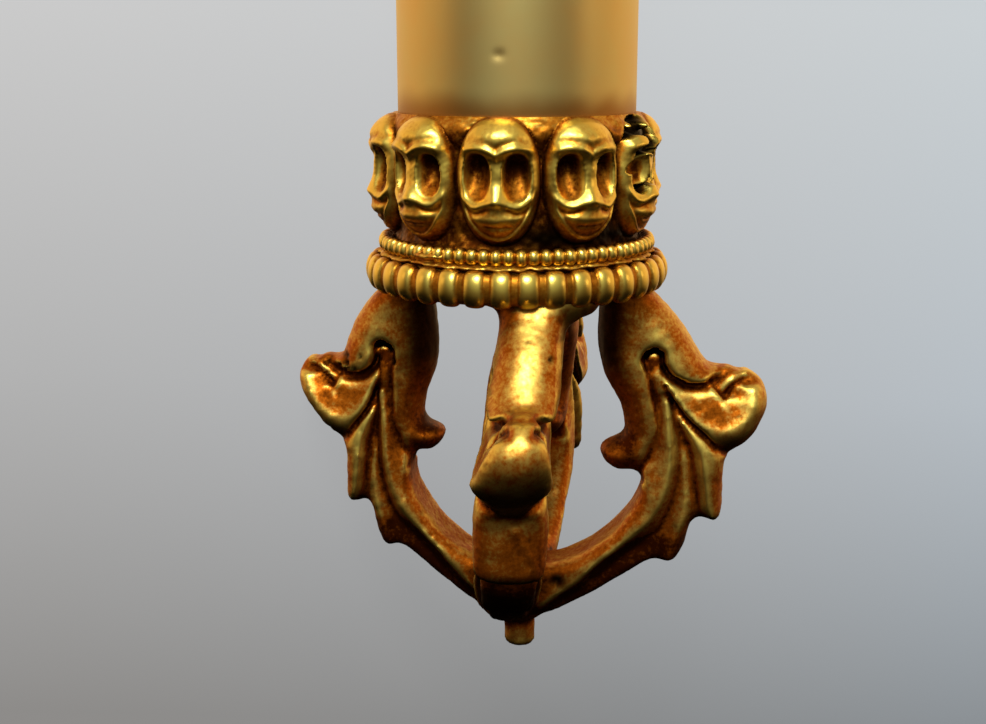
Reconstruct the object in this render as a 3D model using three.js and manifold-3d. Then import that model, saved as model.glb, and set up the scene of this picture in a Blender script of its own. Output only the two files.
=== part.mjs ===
// A gold sceptre lying on its side: a smooth round shaft, a collar of ten skull masks, two beaded rings and
// a cage of four scrolled prongs that close on a small tip, with a plain flared cap on the other end.
// Millimetres, +Z up. The shaft runs along X and the cage points along +X. The sceptre lies on two of its
// prongs and on the rim of the cap. The origin is on the surface it lies on, under the middle of its box.
import * as THREE from "three";
import { mergeVertices } from "three/addons/utils/BufferGeometryUtils.js";
import Module from "manifold-3d";

const wasm = await Module();
wasm.setup();

// Fit between two pieces that touch
const seatGap = 0.3;

// Shaft, a plain tube closed by what is fixed on its ends
const shaftRadius = 12;
const shaftLength = 226;
const shaftSides = 40;

// Collar of skull masks, one casting with its core and its neck
const coreRise = 0.5; // the core stands this far out from the shaft
const coreLip = 1; // and its end is drawn in from the shaft's radius by this
const neckRise = 0.5; // and its neck, under the rings
const maskCount = 10;
const maskHeight = 11.4;
const maskWidth = 7.7;
const maskRise = 2.7; // how far a forehead stands out from the core
const maskFaceRise = 1; // the width of a mask is measured this far out from the core
const maskInset = 0.2; // from the collar's edge to the crown of a mask
const maskClear = 0.5; // from a chin to the fine ring
const maskPhase = -6.8; // degrees, the first mask's place round the shaft
const socketDepth = 1.5;
const eatenMask = 2; // the mask that is eaten through by holes, counted from the first

// Rings of beads
const fineBeads = 72;
const fineBeadHeight = 1.6;
const fineBeadRise = 1.4;
const heavyBeads = 36;
const heavyBeadHeight = 3.2;
const heavyBeadRise = 2.3;
const beadWaist = 0.62; // share of a bead's rise that is left between two beads
const beadPinch = 0.8; // and share of its height

// Cage of prongs
const baseRise = 1; // the cage's foot disc stands this far out from the shaft
const footDepth = 0.6; // how far the foot disc reaches past the heavy ring
const footSides = 24;
const prongLength = 38.1; // from the heavy ring to where the prongs meet
const prongReach = 26.4; // from the axis to the outside of a scroll
const prongWidth = 7.4; // across a prong, round the shaft
const prongBevel = 1.1;
const prongTurns = [-1, 83, 167, -98]; // degrees round the shaft
const prongShrink = [0, 0, 0, 0.14]; // the last prong is bent in by this share
const bladeEnd = 0.98; // share of a prong's length where its blade ends on the axis
const eyeRadius = 0.9;
const eyeDepth = 1.1;
const eyeAt = [0.19, 0.535]; // shares of a prong's length and reach
const creaseWidth = 1;
const creaseSteps = 2;
const stubRadius = 1.75;
const stubTaper = 0.85; // share of its radius that the tip keeps at its end
const stubRoot = 0.84; // share of a prong's length where the tip starts inside the prongs
const stubSides = 12;
const stubLength = 3.4; // how far the tip stands out from the prongs
const stubOffset = 0.5; // the tip is a little off the axis
const restPair = [2, 3]; // the two prongs that it lies on

// Cap on the far end, with its own beaded ring
const capLength = 15;
const capEdge = 3.6; // thickness of the cap's rim
const capFaceInset = 5; // from the rim to the flat face
const capRim = [[0, 1], [0.25, 0.3], [0.75, 0], [1.25, 0], [1.75, 0.25]]; // shares of the edge and the inset
const capSides = 36;
const capNeckRise = 0.9;
const capNeckLength = 2;
const capBeads = 26;
const capBeadHeight = 2.6;
const capBeadRise = 1.7;

const finishes = {
  satin: { color: 0xa39048, roughness: 0.38, metalness: 1 },
  cast: { color: 0xb8862c, roughness: 0.42, metalness: 1 },
  polished: { color: 0xc8a83e, roughness: 0.3, metalness: 1 },
};

// Stations along the shaft's axis, from the joint of shaft and collar at 0
const maskEnd = maskInset + maskHeight;
const collarLength = maskEnd + maskClear + fineBeadHeight;
const fineRingAt = collarLength - fineBeadHeight / 2;
const footAt = collarLength + seatGap;
const heavyRingAt = footAt + heavyBeadHeight / 2;
const prongsAt = footAt + heavyBeadHeight;
const coreRadius = shaftRadius + coreRise;
const neckRadius = shaftRadius + neckRise;
const footRadius = shaftRadius + baseRise;

const radians = THREE.MathUtils.degToRad;

// A geometry with its doubled vertices merged, so that it is one closed surface
function closed(geometry) {
  const bare = geometry.clone();
  bare.deleteAttribute("normal");
  bare.deleteAttribute("uv");
  return mergeVertices(bare, 1e-4);
}

function solidOf(geometry) {
  const merged = closed(geometry);
  const triVerts = new Uint32Array(merged.index.array);
  const vertProperties = new Float32Array(merged.attributes.position.array);
  return new wasm.Manifold(new wasm.Mesh({ numProp: 3, vertProperties, triVerts }));
}

function geometryOf(solid) {
  const mesh = solid.getMesh();
  const geometry = new THREE.BufferGeometry();
  geometry.setAttribute("position", new THREE.BufferAttribute(new Float32Array(mesh.vertProperties), 3));
  geometry.setIndex(new THREE.BufferAttribute(new Uint32Array(mesh.triVerts), 1));
  return geometry;
}

// A profile of [station, radius] pairs turned round the X axis
function turned(profile, sides) {
  const points = profile.map(([station, radius]) => new THREE.Vector2(radius, station));
  return new THREE.LatheGeometry(points, sides).rotateZ(-Math.PI / 2);
}

// Moves each vertex of a turned geometry out from the axis by relief(angle, station, radius), in mm.
// The angle is in radians from +Z towards +Y.
function embossed(geometry, relief) {
  const place = geometry.attributes.position;
  for (let i = 0; i < place.count; i++) {
    const radius = Math.hypot(place.getY(i), place.getZ(i));
    if (radius < 1e-6) continue;
    const angle = Math.atan2(place.getY(i), place.getZ(i));
    const grown = (radius + relief(angle, place.getX(i), radius)) / radius;
    place.setY(i, place.getY(i) * grown);
    place.setZ(i, place.getZ(i) * grown);
  }
  return geometry;
}

function named(name, geometry, finish) {
  const shown = geometry.toNonIndexed();
  shown.computeVertexNormals();
  const mesh = new THREE.Mesh(shown, new THREE.MeshStandardMaterial(finishes[finish]));
  mesh.name = name;
  return mesh;
}

// A soft bump of height 1 at 0 that falls to nothing at about twice its reach
const bump = (distance, reach) => Math.exp(-((distance / reach) ** 2));

// The relief of one skull mask, in mm above the core. across and down are in mm from the mask's middle,
// across round the shaft and down towards the chin.
function maskRelief(across, down, eaten) {
  const half = maskWidth / 2;
  const tall = maskHeight / 2;
  const narrowing = 1 - 0.12 * THREE.MathUtils.smoothstep(down / tall, 0, 1);
  const edge = Math.abs(across / (half * narrowing)) ** 2.4 + Math.abs(down / tall) ** 2.6;
  if (edge >= 1) return 0;
  const dome = maskRise * (1 - edge) ** 0.42;
  const side = Math.abs(across);
  const eyeAcross = 0.5 * half;
  const socket = bump(side - eyeAcross, 0.3 * half) * bump(down + 0.1 * tall, 0.24 * tall);
  const brow = bump(side - eyeAcross, 0.4 * half) * bump(down + 0.46 * tall, 0.13 * tall);
  const muzzle = bump(across, 0.5 * half) * bump(down - 0.28 * tall, 0.2 * tall);
  const mouth = bump(across, 0.7 * half) * bump(down - 0.56 * tall, 0.09 * tall);
  const hole = bump(across - 0.2 * half, 0.4 * half) * bump(down + 0.2 * tall, 0.3 * tall);
  const carved = 0.25 * maskRise * (brow + muzzle) - socketDepth * socket - 0.3 * maskRise * mouth;
  return Math.max(0, dome + carved - (eaten ? 0.8 * maskRise * hole : 0));
}

function shaft() {
  const profile = [
    [-seatGap - shaftLength, 0],
    [-seatGap - shaftLength, shaftRadius],
    [-seatGap, shaftRadius],
    [-seatGap, 0],
  ];
  return named("shaft", turned(profile, shaftSides), "satin");
}

function skullCollar() {
  const columns = 10 * maskCount;
  const rows = 10;
  const profile = [[0, 0], [0, shaftRadius - coreLip]];
  for (let row = 0; row <= rows; row++) profile.push([(maskEnd * row) / rows, coreRadius]);
  profile.push([collarLength - fineBeadHeight - seatGap, coreRadius]);
  profile.push([collarLength, neckRadius], [collarLength, 0]);
  const step = (2 * Math.PI) / maskCount;
  const relief = (angle, station) => {
    const turn = (angle - radians(maskPhase)) / step;
    const mask = Math.round(turn);
    const across = (turn - mask) * step * (coreRadius + maskFaceRise);
    const down = station - maskInset - maskHeight / 2;
    return maskRelief(across, down, mask === eatenMask);
  };
  const core = turned(profile, columns).rotateX(-radians(maskPhase));
  return named("skull_collar", embossed(core, relief), "cast");
}

// A ring of beads round the shaft: an oval section carried round, swelling at each bead and drawn in between
function beadedRing(name, finish, { at, innerRadius, beads, height, rise, columnsPerBead, sectionSides }) {
  const middle = innerRadius + rise / 2;
  const section = [];
  for (let i = 0; i <= sectionSides; i++) {
    const turn = (2 * Math.PI * i) / sectionSides;
    section.push([at + (height / 2) * Math.sin(turn), middle + (rise / 2) * Math.cos(turn)]);
  }
  section[sectionSides] = [...section[0]];
  const geometry = turned(section, beads * columnsPerBead);
  const place = geometry.attributes.position;
  for (let i = 0; i < place.count; i++) {
    const angle = Math.atan2(place.getY(i), place.getZ(i));
    const radius = Math.hypot(place.getY(i), place.getZ(i));
    const swell = 0.5 + 0.5 * Math.cos(angle * beads);
    const outer = (radius - middle) * (radius > middle ? beadWaist + (1 - beadWaist) * swell : 1);
    const grown = (middle + outer) / radius;
    place.setX(i, at + (place.getX(i) - at) * (beadPinch + (1 - beadPinch) * swell));
    place.setY(i, place.getY(i) * grown);
    place.setZ(i, place.getZ(i) * grown);
  }
  return named(name, geometry, finish);
}

// A point of a prong's side, from shares of the prong's length and reach to mm along and out from the axis
const at = (along, out) => [prongsAt + along * prongLength, out * prongReach];

// The side outline of a prong: a stem that leans out, a scroll, two leaf tips and a blade that runs in to
// the tip, and on the inside a round hook.
function prongOutline() {
  const outline = new THREE.Shape();
  outline.moveTo(...at(0.009, 0.576));
  outline.quadraticCurveTo(...at(0.15, 0.69), ...at(0.228, 0.815));
  outline.bezierCurveTo(...at(0.2, 0.89), ...at(0.215, 1), ...at(0.3, 1));
  outline.bezierCurveTo(...at(0.39, 1), ...at(0.44, 0.905), ...at(0.475, 0.82));
  outline.quadraticCurveTo(...at(0.57, 0.845), ...at(0.645, 0.83));
  outline.quadraticCurveTo(...at(0.64, 0.765), ...at(0.66, 0.72));
  outline.quadraticCurveTo(...at(0.715, 0.715), ...at(0.775, 0.675));
  outline.quadraticCurveTo(...at(0.765, 0.62), ...at(0.78, 0.576));
  outline.quadraticCurveTo(...at(0.865, 0.355), ...at(bladeEnd, 0.06));
  outline.lineTo(...at(bladeEnd, -0.06));
  outline.lineTo(...at(0.8, -0.06));
  outline.quadraticCurveTo(...at(0.79, 0.33), ...at(0.6, 0.5));
  outline.lineTo(...at(0.545, 0.504));
  outline.quadraticCurveTo(...at(0.55, 0.352), ...at(0.49, 0.35));
  outline.quadraticCurveTo(...at(0.43, 0.352), ...at(0.43, 0.41));
  outline.quadraticCurveTo(...at(0.425, 0.443), ...at(0.375, 0.443));
  outline.quadraticCurveTo(...at(0.305, 0.436), ...at(0.24, 0.371));
  outline.quadraticCurveTo(...at(0.165, 0.311), ...at(0.009, 0.326));
  return outline;
}

// Creases cut into both sides of a prong, each as points in shares of its length and reach
const creases = [
  [[0.235, 0.585], [0.268, 0.7], [0.215, 0.86]],
  [[0.27, 0.57], [0.35, 0.67], [0.49, 0.84]],
  [[0.31, 0.55], [0.5, 0.665], [0.68, 0.745]],
  [[0.36, 0.52], [0.6, 0.565], [0.78, 0.42]],
];

function creaseTool(points, side) {
  const path = new THREE.CatmullRomCurve3(
    points.map(([along, out]) => {
      const [x, y] = at(along, out);
      return new THREE.Vector3(x, y, (side * prongWidth) / 2);
    }),
  );
  const half = creaseWidth / 2;
  const section = new THREE.Shape();
  section.moveTo(half, 0);
  section.lineTo(0, half);
  section.lineTo(-half, 0);
  section.lineTo(0, -half);
  const along = { steps: creaseSteps, extrudePath: path, bevelEnabled: false };
  return solidOf(new THREE.ExtrudeGeometry(section, along));
}

function eyeTool(side) {
  const drill = new THREE.CylinderGeometry(eyeRadius, eyeRadius, 2 * prongWidth, 6).rotateX(Math.PI / 2);
  return solidOf(drill.translate(...at(...eyeAt), side * (1.5 * prongWidth - eyeDepth)));
}

// One prong in its own plane, with the axis along X and the prong reaching out along Y
function straightProng() {
  const geometry = new THREE.ExtrudeGeometry(prongOutline(), {
    depth: prongWidth - 2 * prongBevel,
    curveSegments: 3,
    bevelEnabled: true,
    bevelThickness: prongBevel,
    bevelSize: prongBevel,
    bevelOffset: -prongBevel,
    bevelSegments: 1,
  });
  geometry.translate(0, 0, prongBevel - prongWidth / 2);
  let solid = solidOf(geometry);
  for (const side of [-1, 1]) {
    for (const points of creases) solid = solid.subtract(creaseTool(points, side));
    solid = solid.subtract(eyeTool(side));
  }
  return geometryOf(solid);
}

// The prong bent in by a share, growing from its root, and turned to its place round the axis
function placedProng(straight, turn, shrink) {
  const geometry = straight.clone();
  const place = geometry.attributes.position;
  for (let i = 0; i < place.count; i++) {
    const along = (place.getX(i) - prongsAt) / prongLength;
    const bent = 1 - shrink * THREE.MathUtils.smoothstep(along, 0, 0.5);
    place.setY(i, place.getY(i) * bent);
  }
  return geometry.rotateX(Math.PI / 2 - radians(turn));
}

// How far a geometry reaches below the axis once the sceptre is rolled by an angle in radians
function reachBelow(geometry, roll) {
  const place = geometry.attributes.position;
  let reach = 0;
  for (let i = 0; i < place.count; i++) {
    reach = Math.max(reach, -(place.getY(i) * Math.sin(roll) + place.getZ(i) * Math.cos(roll)));
  }
  return reach;
}

// The roll that sets both resting prongs on the surface, found by halving the range that holds it
function restingRoll(first, second) {
  let low = radians(0);
  let high = radians(70);
  for (let i = 0; i < 40; i++) {
    const roll = (low + high) / 2;
    if (reachBelow(first, roll) < reachBelow(second, roll)) high = roll;
    else low = roll;
  }
  return (low + high) / 2;
}

const straight = straightProng();
const prongs = prongTurns.map((turn, i) => placedProng(straight, turn, prongShrink[i]));
const roll = restingRoll(prongs[restPair[0]], prongs[restPair[1]]);
const restHeight = reachBelow(prongs[restPair[0]], roll);

function prongCage() {
  const footEnd = prongsAt + footDepth;
  const foot = [[footAt, 0], [footAt, footRadius], [footEnd, footRadius], [footEnd, 0]];
  const stubFrom = prongsAt + stubRoot * prongLength;
  const stubEnd = prongsAt + bladeEnd * prongLength + stubLength;
  const stubTop = stubRadius * stubTaper;
  const stub = [[stubFrom, 0], [stubFrom, stubRadius], [stubEnd, stubTop], [stubEnd, 0]];
  let solid = solidOf(turned(foot, footSides));
  solid = solid.add(solidOf(turned(stub, stubSides).translate(0, stubOffset, 0)));
  for (const prong of prongs) solid = solid.add(solidOf(prong));
  return named("prong_cage", geometryOf(solid), "polished");
}

const capAt = -seatGap - shaftLength - seatGap;

function buttCap() {
  const end = capAt - capLength;
  const capNeck = shaftRadius + capNeckRise;
  const profile = [[end, 0]];
  for (const [along, inset] of capRim) {
    profile.push([end + along * capEdge, restHeight - inset * capFaceInset]);
  }
  const flareFrom = profile.at(-1);
  const flareTo = [capAt - capBeadHeight - capNeckLength, capNeck];
  for (let i = 1; i <= 3; i++) {
    const share = i / 3;
    const drop = Math.sin((share * Math.PI) / 2);
    profile.push([
      flareFrom[0] + share * (flareTo[0] - flareFrom[0]),
      flareFrom[1] + drop * (flareTo[1] - flareFrom[1]),
    ]);
  }
  profile.push([capAt, capNeck], [capAt, 0]);
  return named("butt_cap", turned(profile, capSides), "cast");
}

const rolled = new THREE.Group();
rolled.add(shaft());
rolled.add(skullCollar());
rolled.add(
  beadedRing("fine_bead_ring", "cast", {
    at: fineRingAt,
    innerRadius: neckRadius + seatGap,
    beads: fineBeads,
    height: fineBeadHeight,
    rise: fineBeadRise,
    columnsPerBead: 2,
    sectionSides: 4,
  }),
);
rolled.add(
  beadedRing("heavy_bead_ring", "polished", {
    at: heavyRingAt,
    innerRadius: footRadius + seatGap,
    beads: heavyBeads,
    height: heavyBeadHeight,
    rise: heavyBeadRise,
    columnsPerBead: 4,
    sectionSides: 5,
  }),
);
rolled.add(prongCage());
rolled.add(buttCap());
rolled.add(
  beadedRing("butt_bead_ring", "polished", {
    at: capAt - capBeadHeight / 2,
    innerRadius: shaftRadius + capNeckRise + seatGap,
    beads: capBeads,
    height: capBeadHeight,
    rise: capBeadRise,
    columnsPerBead: 2,
    sectionSides: 5,
  }),
);
rolled.rotation.x = roll;

const sceptre = new THREE.Group();
sceptre.add(rolled);
sceptre.updateMatrixWorld(true);
const box = new THREE.Box3().setFromObject(sceptre, true);
const middle = box.getCenter(new THREE.Vector3());
rolled.position.set(-middle.x, -middle.y, -box.min.z);

export default sceptre;
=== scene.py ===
import math

import bmesh
import bpy
import numpy as np
import openvdb as vdb
from mathutils import Matrix, Vector


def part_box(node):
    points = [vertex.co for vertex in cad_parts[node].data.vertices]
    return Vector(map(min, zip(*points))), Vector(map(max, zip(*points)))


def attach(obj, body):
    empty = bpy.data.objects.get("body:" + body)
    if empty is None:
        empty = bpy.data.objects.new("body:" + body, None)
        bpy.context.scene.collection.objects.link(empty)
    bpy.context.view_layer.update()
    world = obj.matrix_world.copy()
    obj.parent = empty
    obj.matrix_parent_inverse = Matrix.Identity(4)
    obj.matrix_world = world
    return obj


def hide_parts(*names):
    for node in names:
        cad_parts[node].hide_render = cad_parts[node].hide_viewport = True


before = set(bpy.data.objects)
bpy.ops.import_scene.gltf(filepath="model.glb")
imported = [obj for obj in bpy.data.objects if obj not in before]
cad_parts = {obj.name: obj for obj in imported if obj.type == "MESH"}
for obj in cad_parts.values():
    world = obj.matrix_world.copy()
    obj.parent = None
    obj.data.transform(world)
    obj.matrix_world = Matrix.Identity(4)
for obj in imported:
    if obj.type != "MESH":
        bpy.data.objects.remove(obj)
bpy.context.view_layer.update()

# Photographer's camera. It looks down on the lying sceptre, square to the side that the photograph shows,
# 135 mm from the axis and leaning 13 degrees towards the shaft. Pieces are worked out in mm, and the camera,
# the board and the lights in metres.
ROLL = math.radians(37.42)  # from straight up to the side that faces the camera, round the shaft's axis
COLLAR_TOP = -26.0  # mm: stations along the axis are counted from the point at the picture's middle row
EYE_DISTANCE = 0.135  # metres
EYE_LEAN = math.radians(13.3)
EYE_SIDE = -0.00241  # how far the eye stands to the picture's left of the axis
PICTURE_WIDTH = 986  # pixels
FOCAL_PIXELS = 1277
SENSOR_WIDTH = 36  # mm

shaft_low, shaft_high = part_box("shaft")
collar_low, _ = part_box("skull_collar")
axis_y = (shaft_low[1] + shaft_high[1]) / 2
axis_z = (shaft_low[2] + shaft_high[2]) / 2
station_zero = collar_low[0] - COLLAR_TOP / 1000
towards_eye = np.array([0, -math.sin(ROLL), math.cos(ROLL)])
picture_right = np.array([0, math.cos(ROLL), math.sin(ROLL)])
along_axis = np.array([1.0, 0, 0])


def in_row(stations, rights, fronts):
    """Points in metres in the row's frame, from mm along the axis, to the picture's right and to the eye."""
    stations, rights, fronts = np.broadcast_arrays(stations, rights, fronts)
    flat = [np.ravel(a)[:, None] / 1000 for a in (stations, rights, fronts)]
    start = np.array([station_zero, axis_y, axis_z])
    return start + flat[0] * along_axis + flat[1] * picture_right + flat[2] * towards_eye


look = math.sin(EYE_LEAN) * along_axis - math.cos(EYE_LEAN) * towards_eye
up = -math.cos(EYE_LEAN) * along_axis - math.sin(EYE_LEAN) * towards_eye
eye = in_row(0, 0, 0)[0] + EYE_SIDE * picture_right - EYE_DISTANCE * look
camera_data = bpy.data.cameras.new("camera")
camera_data.sensor_width = SENSOR_WIDTH
camera_data.lens = SENSOR_WIDTH * FOCAL_PIXELS / PICTURE_WIDTH
camera_data.clip_start = 0.01
camera = bpy.data.objects.new("camera", camera_data)
turn = Matrix((picture_right, up, -look)).transposed().to_4x4()
camera.matrix_world = Matrix.Translation(Vector(eye)) @ turn
bpy.context.collection.objects.link(camera)
bpy.context.scene.camera = camera


# Studio floor, a plain board that fills the picture. It glows with painted light, pale at the shaft and
# darker, in a widening band, past the cage. The left of the picture is a neutral grey, the right bluer.
def linear(code):
    """An sRGB colour written as RRGGBB, as linear red, green, blue and alpha."""
    parts = np.array([int(code[i : i + 2], 16) for i in (0, 2, 4)]) / 255
    low = parts / 12.92
    high = ((parts + 0.055) / 1.055) ** 2.4
    return (*np.where(parts <= 0.04045, low, high), 1)


def node(tree, kind, links=(), **settings):
    """Adds a node. Settings name its properties, or its inputs by number; links are (input, socket) pairs."""
    made = tree.nodes.new(kind)
    for key, value in settings.items():
        if key.startswith("in"):
            made.inputs[int(key[2:])].default_value = value
        else:
            setattr(made, key, value)
    for entry, source in links:
        tree.links.new(source, made.inputs[entry])
    return made


def new_mesh(name, points, faces):
    """A mesh object at the origin from an array of points and an array of equal-sided faces."""
    mesh = bpy.data.meshes.new(name)
    sides = faces.shape[1]
    mesh.vertices.add(len(points))
    mesh.vertices.foreach_set("co", np.ascontiguousarray(points, dtype=np.float32).ravel())
    mesh.loops.add(faces.size)
    mesh.loops.foreach_set("vertex_index", np.ascontiguousarray(faces, dtype=np.int32).ravel())
    mesh.polygons.add(len(faces))
    mesh.polygons.foreach_set("loop_start", np.arange(0, faces.size, sides, dtype=np.int32))
    mesh.polygons.foreach_set("use_smooth", np.full(len(faces), True))
    mesh.update(calc_edges=True)
    made = bpy.data.objects.new(name, mesh)
    bpy.context.collection.objects.link(made)
    return made


def grid_faces(rows, columns, closed_columns=True):
    """Quads of a grid of rows by columns of points, row after row, closed round its columns if asked."""
    last = columns if closed_columns else columns - 1
    i, j = np.meshgrid(np.arange(rows - 1), np.arange(last), indexing="ij")
    following = (j + 1) % columns
    row, next_row = i * columns, (i + 1) * columns
    corners = [row + j, row + following, next_row + following, next_row + j]
    return np.stack([c.ravel() for c in corners], axis=1)


def give(obj, name, values):
    """Stores one number per vertex as a named attribute."""
    layer = obj.data.attributes.new(name, "FLOAT", "POINT")
    layer.data.foreach_set("value", np.ascontiguousarray(values, dtype=np.float32).ravel())


BOARD_HALF = 0.9
BOARD_STEPS = 121
FADE_FROM = 0.08  # where the board starts to darken, beside the shaft
FADE_LENGTH = 0.092
FADE_SPREAD = 0.36  # how much longer the fade gets for each metre to the picture's right
board_x, board_y = np.meshgrid(*[np.linspace(-BOARD_HALF, BOARD_HALF, BOARD_STEPS)] * 2, indexing="ij")
board_points = np.stack([board_x.ravel(), board_y.ravel(), np.zeros(board_x.size)], axis=1)
floor = new_mesh("floor", board_points, grid_faces(BOARD_STEPS, BOARD_STEPS, closed_columns=False))
fade_length = FADE_LENGTH + FADE_SPREAD * np.clip(board_y - 0.01, -0.12, 0.2)
give(floor, "fade", np.clip((board_x - FADE_FROM) / fade_length, -0.3, 1.3))
give(floor, "across", np.clip((board_y + 0.05) / 0.17, 0, 1))
board_paint = bpy.data.materials.new("backlit_graduated_board")
board_paint.use_nodes = True
board_tree = board_paint.node_tree
board_shader = board_tree.nodes["Principled BSDF"]
board_fade = node(board_tree, "ShaderNodeAttribute", attribute_name="fade").outputs["Fac"]
board_across = node(board_tree, "ShaderNodeAttribute", attribute_name="across").outputs["Fac"]
board_sides = []
for first, second, third in (("CECECE", "B4B4B4", "8C8A88"), ("CFD6DA", "BAC2C9", "8A9095")):
    ramp = node(board_tree, "ShaderNodeValToRGB", [(0, board_fade)])
    ramp.color_ramp.elements[0].color = linear(first)
    ramp.color_ramp.elements[1].color = linear(third)
    ramp.color_ramp.elements.new(0.5).color = linear(second)
    board_sides.append(ramp.outputs["Color"])
board_links = [(0, board_across), (6, board_sides[0]), (7, board_sides[1])]
board_mix = node(board_tree, "ShaderNodeMix", board_links, data_type="RGBA")
# Painted light: the graded colour goes to the board's emission, so that it glows.
board_tree.links.new(board_mix.outputs[2], board_shader.inputs["Emission Color"])
board_shader.inputs["Emission Strength"].default_value = 0.9
board_shader.inputs["Base Color"].default_value = linear("3A3A3C")
board_shader.inputs["Roughness"].default_value = 1.0
board_shader.inputs["Specular IOR Level"].default_value = 0.0
floor.data.materials.append(board_paint)
floor.visible_glossy = False

# Room, a dark one with one bright end: a broad glow comes from above the shaft and in front of the masks. A
# warm glow round the sides, away from the eye, edges the shaft and dies out towards the cage.
GLOW_STRENGTH = 1.7
world = bpy.data.worlds.new("room")
bpy.context.scene.world = world
world.use_nodes = True
world_tree = world.node_tree
backdrop = world_tree.nodes["Background"]
bright_way = towards_eye * 0.75 - along_axis * 0.66
sky_way = node(world_tree, "ShaderNodeTexCoord").outputs["Generated"]
sky_dot = node(world_tree, "ShaderNodeVectorMath", [(0, sky_way)], operation="DOT_PRODUCT")
sky_dot.inputs[1].default_value = tuple(bright_way)
sky_share = node(world_tree, "ShaderNodeMapRange", [(0, sky_dot.outputs["Value"])], in1=-0.3, in2=1.0)
sky_ramp = node(world_tree, "ShaderNodeValToRGB", [(0, sky_share.outputs[0])])
sky_ramp.color_ramp.elements[0].color = linear("040302")
sky_ramp.color_ramp.elements[1].color = linear("E4EEE8")
sky_ramp.color_ramp.elements.new(0.3).color = linear("2C1A0C")
sky_ramp.color_ramp.elements.new(0.65).color = linear("7C7060")
side_dot = node(world_tree, "ShaderNodeVectorMath", [(0, sky_way)], operation="DOT_PRODUCT")
side_dot.inputs[1].default_value = tuple(picture_right)
side_value = side_dot.outputs["Value"]
side_far = node(world_tree, "ShaderNodeMath", [(0, side_value)], operation="ABSOLUTE").outputs[0]
eye_dot = node(world_tree, "ShaderNodeVectorMath", [(0, sky_way)], operation="DOT_PRODUCT")
eye_dot.inputs[1].default_value = tuple(-1.2 * towards_eye)
side_sum = [(0, side_far), (1, eye_dot.outputs["Value"])]
round_side = node(world_tree, "ShaderNodeMath", side_sum, operation="ADD").outputs[0]
side_glow = node(world_tree, "ShaderNodeMapRange", [(0, round_side)], in1=0.1, in2=1.3).outputs[0]
tail_dot = node(world_tree, "ShaderNodeSeparateXYZ", [(0, sky_way)]).outputs["X"]
tail_share = node(world_tree, "ShaderNodeMapRange", [(0, tail_dot)], in1=0.45, in2=-0.05).outputs[0]
side_product = [(0, side_glow), (1, tail_share)]
side_level = node(world_tree, "ShaderNodeMath", side_product, operation="MULTIPLY").outputs[0]
side_links = [(0, side_level), (6, sky_ramp.outputs["Color"])]
side_mix = node(world_tree, "ShaderNodeMix", side_links, data_type="RGBA", blend_type="ADD")
side_mix.inputs[7].default_value = tuple(GLOW_STRENGTH * channel for channel in linear("F8D09C"))
world_tree.links.new(side_mix.outputs[2], backdrop.inputs["Color"])
backdrop.inputs["Strength"].default_value = 0.8

# Soft boxes: name, metres along the axis, towards the eye and to the right, size, watts and colour.
SOFT_BOXES = (
    ("key", -0.30, 0.26, -0.03, 0.14, 1.6, "FFFFFA"),
    ("side", -0.12, 0.14, 0.34, 0.12, 0.08, "FFE2BC"),
    ("left", -0.14, 0.10, -0.36, 0.16, 0.05, "FFD8A8"),
)
head = in_row(0, 0, 0)[0]
for light_name, along, towards, right, size, watts, colour in SOFT_BOXES:
    light_data = bpy.data.lights.new(light_name, "AREA")
    light_data.shape = "SQUARE"
    light_data.size = size
    light_data.energy = watts
    light_data.color = linear(colour)[:3]
    light = bpy.data.objects.new(light_name, light_data)
    light.location = head + along * along_axis + towards * towards_eye + right * picture_right
    light.rotation_euler = (Vector(head) - light.location).to_track_quat("-Z", "Y").to_euler()
    bpy.context.collection.objects.link(light)

bpy.context.scene.view_settings.view_transform = "Standard"


# Shaft, a tube of sheet gold drawn round and rubbed satin with fine lines round it, and pushed into the
# collar. One small dent shows near the collar.
def step(low, high, values):
    """0 below low, 1 above high, and a smooth S between."""
    share = np.clip((values - low) / (high - low), 0, 1)
    return share * share * (3 - 2 * share)


def waves(points, size, seed, octaves=3):
    """Smooth unevenness between about -1 and 1: sums of sines in random directions, finer at each octave."""
    draw = np.random.default_rng(seed)
    total = np.zeros(len(points))
    weight = 0
    for octave in range(octaves):
        for _ in range(5):
            direction = draw.normal(size=3)
            direction *= 2 * math.pi * 2**octave / (size * np.linalg.norm(direction))
            total += np.sin(points @ direction + draw.uniform(0, 7)) / 2**octave
            weight += 1 / 2**octave
    return total / (0.5 * weight)


SHAFT_RADIUS = 12.0
shaft_from = (shaft_low[0] - station_zero) * 1000
shaft_to = COLLAR_TOP + 1.0
SHAFT_COLUMNS = 260
DENT_STATION = -31.5
DENT_TURN = -0.16
END_LENGTH = 0.6  # over this the shaft is drawn in at its far end
END_DROP = 0.3
fine_from = DENT_STATION - 3
plain_rows = np.linspace(shaft_from, fine_from, 250, endpoint=False)
shaft_rows = np.concatenate([plain_rows, np.linspace(fine_from, shaft_to, 60)])
shaft_columns = np.linspace(0, 2 * math.pi, SHAFT_COLUMNS, endpoint=False)
shaft_stations, shaft_turns = np.meshgrid(shaft_rows, shaft_columns, indexing="ij")


def dent(stations, turns, size, depth):
    """A round hollow in the shaft: a bell of the distance from its middle."""
    between = (turns - DENT_TURN + math.pi) % (2 * math.pi) - math.pi
    away = (stations - DENT_STATION) ** 2 + (SHAFT_RADIUS * between) ** 2
    return depth * np.exp(-away / size**2)


def on_cylinder(stations, turns):
    """Points in mm on a plain cylinder of the shaft's radius, on which unevenness is worked out."""
    rights, fronts = SHAFT_RADIUS * np.sin(turns), SHAFT_RADIUS * np.cos(turns)
    return np.stack([stations.ravel(), rights.ravel(), fronts.ravel()], axis=1)


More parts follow.
